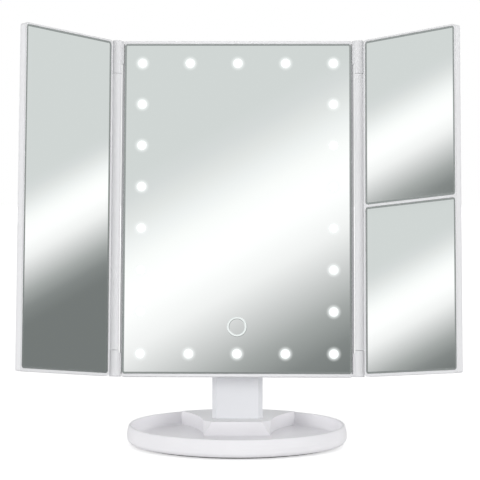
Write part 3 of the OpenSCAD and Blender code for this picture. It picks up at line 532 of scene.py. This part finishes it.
class DressSolids(bpy.types.Operator):
    """Give every solid of the frame its finish"""
    bl_idname = "vanity_mirror.finishes"
    bl_label = "Finishes"

    def execute(self, context):
        colours = context.scene.mirror_finishes
        carried(moulded_abs("moulded white ABS", colours.body, roughness=0.3, edge_mm=0.45),
                "center_frame", "center_back_cover", "left_wing_frame", "left_wing_back",
                "right_wing_frame", "right_wing_back")
        # The base's mouldings get a lighter colour than the head's: partly a lavender tint of
        # their own, partly painted light that stands in for the bounce from the floor
        carried(moulded_abs("moulded white ABS, lightened as painted bounce light", colours.base, roughness=0.3, edge_mm=0.45),
                "base_tray", "base_cover", "battery_door")
        carried(moulded_abs("moulded matt white ABS", colours.stem, roughness=0.36, edge_mm=0.35),
                "stem_column", "stem_cover")
        carried(plated_steel("zinc-plated steel", colours.steel, roughness=0.28),
                "head_screws", "tilt_pin", "tilt_nut", "left_hinge_pins", "right_hinge_pins",
                "stem_screws", "base_screws", "battery_contacts", "usb_socket")
        for name, code, roughness, size_mm, depth_mm, spread, nodes in (
            ("black acetal", colours.dark, 0.45, 0.8, 0.01, 0.1,
             ("power_switch", "switch_housing", "friction_washers")),
            ("grey rubber", "#55575A", 0.8, 0.7, 0.05, 0.15, ("foot_strip",)),
            ("closed-cell foam", "#454545", 0.95, 0.5, 0.08, 0.3,
             ("mirror_pad", "left_mirror_pad", "right_mirror_pads")),
            ("white solder mask", "#E6EBE5", 0.4, 1.0, 0.01, 0.04, ("led_board",)),
            ("green solder mask", "#2A5F43", 0.35, 1.0, 0.01, 0.1, ("touch_board", "power_board")),
            ("light-emitting die under phosphor", "#F2E3A2", 0.6, 0.4, 0.01, 0.1, ("leds",)),
            ("PVC lead jacket", "#E4E4E6", 0.5, 0.5, 0.01, 0.05, ("power_lead", "battery_cells")),
        ):
            carried(grained(name, code, roughness, size_mm, depth_mm, spread), *nodes)
        carried(silvered_glass("silvered glass body", colours.silver),
                "center_mirror", "left_mirror", "right_upper_mirror", "right_lower_mirror",
                "light_windows", "touch_ring")
        # The panes mirror only the tray and what is under it; the cards hide all else from them
        for name, node in frame["nodes"].items():
            node.visible_glossy = name in ("base_tray", "base_cover", "foot_strip")
        return {"FINISHED"}


# ---- Panes and windows ----


class MakePanes(bpy.types.Operator):
    """Make the four mirror panes, each with a ground bevel round it"""
    bl_idname = "vanity_mirror.panes"
    bl_label = "Mirror panes"

    def execute(self, context):
        sizes = context.scene.mirror_panes
        colours = context.scene.mirror_finishes
        plain = silvered_glass("silvered float glass", colours.silver)
        centres = [(low + high) / 2 for low, high in solids("light_windows", HEAD)]
        lit = lit_glass("silvered float glass, lit", colours.silver, colours.light, centres,
                        sizes.core, sizes.reach)
        edge = ground_edge("ground glass edge", colours.edge)
        for node, place, body in (
            ("center_mirror", HEAD, "head"),
            ("left_mirror", LEFT, "left_wing"),
            ("right_upper_mirror", RIGHT, "right_wing"),
            ("right_lower_mirror", RIGHT, "right_wing"),
        ):
            low, high = whole(node, place)
            shape, front = plate(low, high, high.y, low.y, sizes.corner)
            rim = set(front.verts)
            bmesh.ops.inset_region(shape, faces=[front], thickness=sizes.bevel_width)
            for v in rim - set(front.verts):
                v.co.y += sizes.bevel_drop
            for face in shape.faces:
                face.material_index = 0 if face is front else 1
            bmesh.ops.recalc_face_normals(shape, faces=shape.faces)
            silver = lit if body == "head" else plain
            piece(node + "_pane", shape, place, body, [silver, edge], node)
        return {"FINISHED"}


class MakeWindows(bpy.types.Operator):
    """Make the frosted windows in front of the lights and the frosted touch ring"""
    bl_idname = "vanity_mirror.windows"
    bl_label = "Lit windows"

    def execute(self, context):
        sizes = context.scene.mirror_panes
        colours = context.scene.mirror_finishes
        proud = sizes.proud / MM
        depth = -0.2
        lit = frosted_light("etched glass, lit", colours.light, colours.glow)
        faint = frosted_light("etched glass, faintly lit", "#F4F8F7", glow=0.75)
        for node, material, line in (
            ("light_windows", lit, None),
            ("touch_ring", faint, sizes.ring_line / MM),
        ):
            shape = bmesh.new()
            middles = []
            # The solids of a node are all alike, so the last radius serves for the glow below
            for low, high in solids(node, HEAD):
                middles.append(Vector(((low.x + high.x) / 2, low.y, (low.z + high.z) / 2)))
                radius = (high.x - low.x) / 2 / MM
                inner = radius - (line or radius)
                crest = radius - line / 2 if line else sizes.core / MM
                profile = [(inner, 0.2 * proud if line else proud)]
                profile += [(crest, proud), ((crest + radius) / 2, 0.6 * proud),
                            (radius, 0.2 * proud), (radius, depth), (inner, depth)]
                if line:
                    profile.append(profile[0])
                turned(shape, Matrix.Translation(middles[-1]) @ FORWARD, profile)
            glow = shape.verts.layers.float.new("glow")
            for v in shape.verts:
                away = min((v.co.xz - middle.xz).length for middle in middles) / MM
                if line:
                    share = min(radius - away, away - inner) / (line / 2)
                else:
                    share = (sizes.reach / MM - away) / ((sizes.reach - sizes.core) / MM)
                v[glow] = min(max(share, 0.0), 1.0)
            piece(node + "_etched", shape, HEAD, "head", [material], node)
        return {"FINISHED"}


# ---- Fasteners, switch, power ----


class MakeFasteners(bpy.types.Operator):
    """Make the screws with their cross recesses and the tilt joint's bolt and nut"""
    bl_idname = "vanity_mirror.fasteners"
    bl_label = "Screws, bolt and nut"

    def execute(self, context):
        colour = context.scene.mirror_finishes.steel
        steel = plated_steel("zinc-plated screw steel", colour, roughness=0.24)
        shank_r = 1.1 * MM
        for node, place, body, head_t in (
            ("head_screws", HEAD, "head", 1.2 * MM),
            ("stem_screws", PLAIN, "base", 0.7 * MM),
            ("base_screws", PLAIN, "base", 0.8 * MM),
        ):
            shape = bmesh.new()
            for low, high in solids(node, place):
                size, top = high - low, (low + high) / 2
                if size.y > size.z:
                    top.y, turn, length = high.y, REARWARD, size.y
                else:
                    top.z, turn, length = low.z, DOWNWARD, size.z
                screw(shape, Matrix.Translation(top) @ turn, size.x / 2, head_t, shank_r, length,
                      0.55 * size.x / 2)
            piece(node + "_cross", shape, place, body, [steel], node)

        low, high = whole("tilt_pin", HEAD)
        end = (low + high) / 2
        end.x = low.x
        head_r = (high.z - low.z) / 2
        pin_r = head_r - 1.5 * MM
        shape = bmesh.new()
        screw(shape, Matrix.Translation(end) @ LEFTWARD, head_r, 1.8 * MM, pin_r, high.x - low.x,
              0.6 * head_r)
        piece("tilt_bolt", shape, HEAD, "head", [steel], "tilt_pin")

        low, high = whole("tilt_nut", HEAD)
        foot = (low + high) / 2
        foot.x = low.x
        shape = bmesh.new()
        nut(shape, Matrix.Translation(foot) @ RIGHTWARD, high.z - low.z, high.x - low.x,
            pin_r + 0.05 * MM)
        piece("tilt_hexagon_nut", shape, HEAD, "head", [steel], "tilt_nut")
        return {"FINISHED"}


class MakeSwitch(bpy.types.Operator):
    """Make the ribbed slider on the back of the head"""
    bl_idname = "vanity_mirror.switch"
    bl_label = "Switch slider"

    def execute(self, context):
        acetal = grained("black acetal slider", context.scene.mirror_finishes.dark,
                         roughness=0.4, size_mm=0.8, depth_mm=0.01, spread=0.1)
        low, high = whole("power_switch", HEAD)
        collar_lap = 1.0 * MM
        collar_step = 1.2 * MM
        collar_t = 0.4 * MM
        groove_slant = 0.03 * MM
        groove_depth = 0.3 * MM
        middle, half = (low + high) / 2, (high - low) / 2
        scale = Vector((half.x - collar_lap, half.z - collar_step))
        shape = bmesh.new()
        turn = Matrix.Translation((middle.x, high.y, middle.z)) @ REARWARD
        bmesh.ops.create_grid(shape, x_segments=9, y_segments=1, size=1,
                              matrix=turn @ Matrix.Diagonal((*scale, 1, 1)))
        grooves = sorted(shape.faces, key=lambda f: f.calc_center_median().x)[1::2]
        bmesh.ops.inset_individual(shape, faces=grooves, thickness=groove_slant,
                                   depth=-groove_depth)
        edges = border(shape)
        wide = Vector((half.x / scale.x, half.z / scale.y))
        edges = grow(shape, edges, lambda co: Vector((co.x, low.y + collar_t, co.z)))
        edges = grow(shape, edges, lambda co: Vector((
            middle.x + (co.x - middle.x) * wide.x, co.y, middle.z + (co.z - middle.z) * wide.y)))
        edges = grow(shape, edges, lambda co: Vector((co.x, low.y, co.z)))
        bmesh.ops.contextual_create(shape, geom=edges)
        bmesh.ops.recalc_face_normals(shape, faces=shape.faces)
        piece("power_switch_ribbed", shape, HEAD, "switch_slider", [acetal],
              "power_switch")
        return {"FINISHED"}


class MakePower(bpy.types.Operator):
    """Make the cells, their spring contacts and the power socket"""
    bl_idname = "vanity_mirror.power"
    bl_label = "Cells, contacts and socket"

    def execute(self, context):
        colours = context.scene.mirror_finishes
        steel = plated_steel("nickel-plated steel", colours.steel, roughness=0.2)
        self.cells(steel)
        self.contacts(steel)
        self.socket(steel, colours.dark)
        return {"FINISHED"}

    def cells(self, steel):
        jacket = grained("printed cell jacket", "#4C6B57", roughness=0.3, size_mm=0.5,
                         depth_mm=0.004, spread=0.05)
        shape = bmesh.new()
        for i, (low, high) in enumerate(solids("battery_cells")):
            end = (low + high) / 2
            # Neighbours lie head to tail
            end.y, turn = (high.y, FORWARD) if i % 2 else (low.y, REARWARD)
            place = Matrix.Translation(end) @ turn
            r, top = (high.x - low.x) / 2 / MM, (high.y - low.y) / MM
            # The jacket, which is rolled in over the can's shoulder
            turned(shape, place, [
                (r - 0.25, 0.5), (r, 0.5), (r, top - 2.0), (r - 0.15, top - 1.6),
                (r - 0.7, top - 1.3), (r - 0.75, top - 1.4), (r - 0.25, top - 1.9),
                (r - 0.25, 0.5)])
            # The can, from its dished bottom to the button on top
            turned(shape, place, [
                (0, 0.3), (r - 2, 0.3), (r - 1.7, 0), (r - 0.7, 0), (r - 0.3, 0.35),
                (r - 0.3, top - 2), (r - 0.8, top - 1.45), (r - 1.6, top - 1.05), (2.3, top - 1),
                (1.95, top - 0.85), (1.9, top - 0.2), (1.7, top), (0, top)], material=1)
        piece("battery_cells_jacketed", shape, PLAIN, "base", [jacket, steel],
              "battery_cells")

    def contacts(self, steel):
        shape = bmesh.new()
        plate_t = 0.4 * MM
        plate_corner = 1.2 * MM
        wire_r = 0.3 * MM
        coil_r = 2.1 * MM
        turns, steps = 3, 16
        for low, high in solids("battery_contacts"):
            join(shape, plate(low, high, low.y, low.y + plate_t, plate_corner)[0], PLAIN)
            # A shallow contact is a bare plate, a deeper one also holds a coil
            rise = high.y - low.y - plate_t - 2 * wire_r
            if rise < 0:
                continue
            middle = (low + high) / 2
            middle.y = low.y + plate_t + wire_r
            coil = bmesh.new()
            bmesh.ops.create_circle(coil, segments=8, radius=wire_r, cap_ends=True,
                                    matrix=Matrix.Translation((coil_r, 0, 0)) @ FORWARD)
            bmesh.ops.spin(coil, geom=coil.faces[:], cent=(0, 0, 0), axis=(0, 0, 1),
                           dvec=(0, 0, rise / turns / steps), angle=2 * math.pi * turns,
                           steps=turns * steps)
            bmesh.ops.holes_fill(coil, edges=border(coil), sides=8)
            join(shape, coil, Matrix.Translation(middle) @ REARWARD)
        piece("battery_contacts_sprung", shape, PLAIN, "base", [steel],
              "battery_contacts")

    def socket(self, steel, dark):
        faces = frame["nodes"]["usb_socket"].data.polygons
        rear = max((face.normal for face in faces), key=lambda normal: normal.y)
        place = Matrix.Rotation(-math.atan2(rear.x, rear.y), 4, "Z")
        low, high = whole("usb_socket", place)
        wall = 0.35 * MM
        corner = 0.8 * MM
        # The mouth ends in front of the back wall, from which the tongue stands out
        back = low.y + 1.0 * MM
        tip = high.y - 1.2 * MM
        tongue_t = 0.6 * MM
        tongue_corner = 0.2 * MM
        inset = Vector((1.8 * MM, 0, 0))
        shape = bmesh.new()
        shell, mouth = plate(low, high, low.y, high.y, corner)
        bmesh.ops.inset_region(shell, faces=[mouth], thickness=wall)
        drawn(shell, [mouth], back)
        bmesh.ops.delete(shell, geom=[mouth], context="FACES_ONLY")
        join(shape, shell, PLAIN)
        middle = (low + high) / 2
        tongue_low = Vector((low.x, 0, middle.z - tongue_t / 2)) + inset
        tongue_high = Vector((high.x, 0, middle.z + tongue_t / 2)) - inset
        tongue = plate(tongue_low, tongue_high, back, tip, tongue_corner)[0]
        join(shape, tongue, PLAIN, 1)
        polymer = grained("black liquid-crystal polymer", dark, roughness=0.5, size_mm=0.6,
                          depth_mm=0.01, spread=0.1)
        piece("usb_socket_rolled", shape, place, "base", [steel, polymer], "usb_socket")


# ---- Stage ----


# Climb of the bands on the cards, per px to the right
BAND_SLOPE = 0.57
# The bar between the right wing's panes: a point on it in px, and its climb per px to the right
BAR_POINT = Vector((366, 207))
BAR_SLOPE = 0.132


def bands(tree, height, rise, white, fall, dark):
    """Tones of a studio card over its height: grey, softly up to white, softly down to dark."""
    parts = 5
    stops = []
    for first, last, code, other in ((rise, white, "#D0D4D3", "#FFFFFF"),
                                     (fall, dark, "#FFFFFF", "#747877")):
        for k in range(parts + 1):
            share = k / parts
            at = (first + share * (last - first) - rise) / (dark - rise)
            stops.append((at, linear(between(code, other, share * share * (3 - 2 * share)))))
    along = add(tree, "ShaderNodeMapRange", Value=height, From_Min=rise, From_Max=dark)
    return add(tree, "ShaderNodeValToRGB", stops=stops, Fac=along.outputs[0]).outputs["Color"]


def card(tree, direction, studio, stage, pane, spots, lower_spots):
    """Adds the studio card that a pane mirrors to the camera.

    Heights on it, such as the spots where the bands change, are in pixels down the frame's
    middle column, as the pane shows it. From there the bands climb to the right.
    """
    normal = pane.to_3x3() @ Vector((0, -1, 0))
    view = Matrix.Rotation(stage.yaw, 3, "Z") @ Matrix.Rotation(math.pi / 2 - stage.pitch, 3, "X")
    axes = [view @ Vector(axis) for axis in ((1, 0, 0), (0, -1, 0), (0, 0, -1))]
    across, down, ahead = [
        add(tree, "ShaderNodeVectorMath", {"operation": "DOT_PRODUCT"}, i0=direction,
            i1=axis - 2 * axis.dot(normal) * normal).outputs["Value"] for axis in axes]
    x, y = [add(tree, "ShaderNodeMath", {"operation": "DIVIDE"}, i0=v, i1=ahead).outputs[0]
            for v in (across, down)]
    focal = stage.focal * FRAME_PX
    centre = FRAME_PX / 2
    sloped = add(tree, "ShaderNodeMath", {"operation": "MULTIPLY_ADD"}, i0=x, i1=BAND_SLOPE, i2=y)
    height = add(tree, "ShaderNodeMath", {"operation": "MULTIPLY_ADD"}, i0=sloped.outputs[0],
                 i1=focal, i2=centre).outputs[0]
    painted = bands(tree, height, *spots)
    if lower_spots:
        # The lower pane shows a card of its own
        line = add(tree, "ShaderNodeMath", {"operation": "MULTIPLY_ADD"}, i0=x, i1=BAR_SLOPE, i2=y)
        bar = (BAR_POINT.y - centre + BAR_SLOPE * (BAR_POINT.x - centre)) / focal
        below = add(tree, "ShaderNodeMath", {"operation": "GREATER_THAN"}, i0=line.outputs[0],
                    i1=bar)
        painted = add(tree, "ShaderNodeMix", {"data_type": "RGBA"}, i0=below.outputs[0],
                      i6=painted, i7=bands(tree, height, *lower_spots)).outputs[2]
    # The card is whole up to 9 degrees from its middle and fades out by 12.5
    near = add(tree, "ShaderNodeMapRange", {"interpolation_type": "SMOOTHSTEP"}, Value=ahead,
               From_Min=math.cos(math.radians(12.5)), From_Max=math.cos(math.radians(9)))
    return add(tree, "ShaderNodeMix", {"data_type": "RGBA"}, i0=near.outputs[0], i6=studio,
               i7=painted).outputs[2]


class MakeStage(bpy.types.Operator):
    """Make the camera, the floor, the lamps and the studio that the panes mirror"""
    bl_idname = "vanity_mirror.stage"
    bl_label = "Stage"

    def execute(self, context):
        scene = context.scene
        self.camera(scene, scene.mirror_stage)
        self.floor(scene, scene.mirror_stage)
        self.lamps(scene, scene.mirror_stage)
        self.studio(scene, scene.mirror_stage)
        scene.view_settings.view_transform = "Standard"
        return {"FINISHED"}

    def camera(self, scene, stage):
        data = bpy.data.cameras.new("camera")
        data.sensor_width = 36.0
        data.lens = stage.focal * data.sensor_width
        made = bpy.data.objects.new("camera", data)
        made.location = stage.eye
        made.rotation_euler = (math.pi / 2 - stage.pitch, 0, stage.yaw)
        scene.collection.objects.link(made)
        scene.camera = made

    def floor(self, scene, stage):
        shape = bmesh.new()
        bmesh.ops.create_grid(shape, x_segments=1, y_segments=1, size=2.0)
        mesh = bpy.data.meshes.new("floor")
        shape.to_mesh(mesh)
        shape.free()
        made = bpy.data.objects.new("floor", mesh)
        scene.collection.objects.link(made)
        material, tree, shader, _ = new_material("matt white floor")
        shader.inputs["Base Color"].default_value = linear(stage.floor)
        shader.inputs["Roughness"].default_value = 0.9
        shader.inputs["Specular IOR Level"].default_value = 0.2
        # Seen directly, the floor is lifted to white, and only the shadow stays
        path = add(tree, "ShaderNodeLightPath")
        lift = add(tree, "ShaderNodeEmission", Color=linear("#FFFFFF"), Strength=stage.lift)
        both = add(tree, "ShaderNodeAddShader", i0=shader.outputs[0], i1=lift.outputs[0])
        mix = add(tree, "ShaderNodeMixShader", Fac=path.outputs["Is Camera Ray"],
                  i1=shader.outputs[0], i2=both.outputs[0])
        tree.links.new(mix.outputs[0], tree.nodes["Material Output"].inputs["Surface"])
        mesh.materials.append(material)

    def lamps(self, scene, stage):
        target = Vector((0, 0, 0.15))
        for name, power, size, place in (
            ("key", stage.key, 1.2, (-2.2, -1.8, 0.6)),
            ("fill", stage.fill, 1.4, (2.4, -1.6, 0.5)),
            ("rear", stage.rear, 1.6, (0.4, 2.2, 1.4)),
        ):
            data = bpy.data.lights.new(name, "AREA")
            data.energy = power
            data.size = size
            made = bpy.data.objects.new(name, data)
            made.location = place
            made.rotation_euler = (target - Vector(place)).to_track_quat("-Z", "Y").to_euler()
            # Lamps don't show in the panes, which mirror the studio instead
            made.visible_glossy = False
            scene.collection.objects.link(made)

    def studio(self, scene, stage):
        world = bpy.data.worlds.new("studio")
        scene.world = world
        world.use_nodes = True
        tree = world.node_tree
        tree.nodes.clear()
        direction = add(tree, "ShaderNodeTexCoord").outputs["Generated"]
        split = add(tree, "ShaderNodeSeparateXYZ", Vector=direction)
        # The studio's walls, from a little below the horizon up to its ceiling
        height = add(tree, "ShaderNodeMapRange", Value=split.outputs["Z"], From_Min=-0.3)
        studio = add(tree, "ShaderNodeValToRGB", Fac=height.outputs[0], stops=[
            (0.0, linear("#ACAFAE")), (0.22, linear("#C0C4C3")), (0.48, linear("#CCCFCE")),
            (0.7, linear("#ECECEC")), (0.82, linear("#F2F2F2")), (0.92, linear("#D4D7D6")),
            (1.0, linear("#C6CAC9"))]).outputs["Color"]
        # Where on each pane the bands start to rise, are white, start to fall and are dark
        for pane, spots, lower_spots in (
            (HEAD, (114, 224, 250, 440), None),
            (LEFT, (59, 108, 119, 203), None),
            (RIGHT, (173, 222, 233, 317), (344, 393, 405, 489)),
        ):
            studio = card(tree, direction, studio, stage, pane, spots, lower_spots)
        even = add(tree, "ShaderNodeBackground", Color=linear("#FFFFFF"), Strength=stage.sky)
        seen = add(tree, "ShaderNodeBackground", Color=linear("#FFFFFF"), Strength=1.0)
        mirrored = add(tree, "ShaderNodeBackground", Color=studio, Strength=stage.cards)
        path = add(tree, "ShaderNodeLightPath")
        glossy = add(tree, "ShaderNodeMixShader", Fac=path.outputs["Is Glossy Ray"],
                     i1=even.outputs[0], i2=mirrored.outputs[0])
        clear = add(tree, "ShaderNodeMath", {"operation": "MAXIMUM"},
                    i0=path.outputs["Is Camera Ray"], i1=path.outputs["Is Transmission Ray"])
        last = add(tree, "ShaderNodeMixShader", Fac=clear.outputs[0], i1=glossy.outputs[0],
                   i2=seen.outputs[0])
        add(tree, "ShaderNodeOutputWorld", Surface=last.outputs[0])


# ---- Panel and main ----


OPERATORS = (DressSolids, MakePanes, MakeWindows, MakeFasteners, MakeSwitch, MakePower, MakeStage)
SETTINGS = (("mirror_panes", PaneSettings), ("mirror_finishes", FinishSettings),
            ("mirror_stage", StageSettings))


class MirrorPanel(bpy.types.Panel):
    """Lists the steps that dress the mirror"""
    bl_idname = "VIEW3D_PT_vanity_mirror"
    bl_label = "Vanity mirror"
    bl_space_type = "VIEW_3D"
    bl_region_type = "UI"
    bl_category = "Vanity mirror"

    def draw(self, context):
        for step in OPERATORS:
            self.layout.operator(step.bl_idname)
        for name, group in SETTINGS:
            box = self.layout.box()
            box.label(text=group.__doc__)
            for setting in group.__annotations__:
                box.prop(getattr(context.scene, name), setting)


def register():
    for name, group in SETTINGS:
        bpy.utils.register_class(group)
        setattr(bpy.types.Scene, name, bpy.props.PointerProperty(type=group))
    for made in (*OPERATORS, MirrorPanel):
        bpy.utils.register_class(made)


def unregister():
    for made in (MirrorPanel, *reversed(OPERATORS)):
        bpy.utils.unregister_class(made)
    for name, group in reversed(SETTINGS):
        delattr(bpy.types.Scene, name)
        bpy.utils.unregister_class(group)


def main():
    register()
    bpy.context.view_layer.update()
    bpy.ops.vanity_mirror.finishes()
    bpy.ops.vanity_mirror.panes()
    bpy.ops.vanity_mirror.windows()
    bpy.ops.vanity_mirror.fasteners()
    bpy.ops.vanity_mirror.switch()
    bpy.ops.vanity_mirror.power()
    bpy.ops.vanity_mirror.stage()


if __name__ == "__main__":
    main()
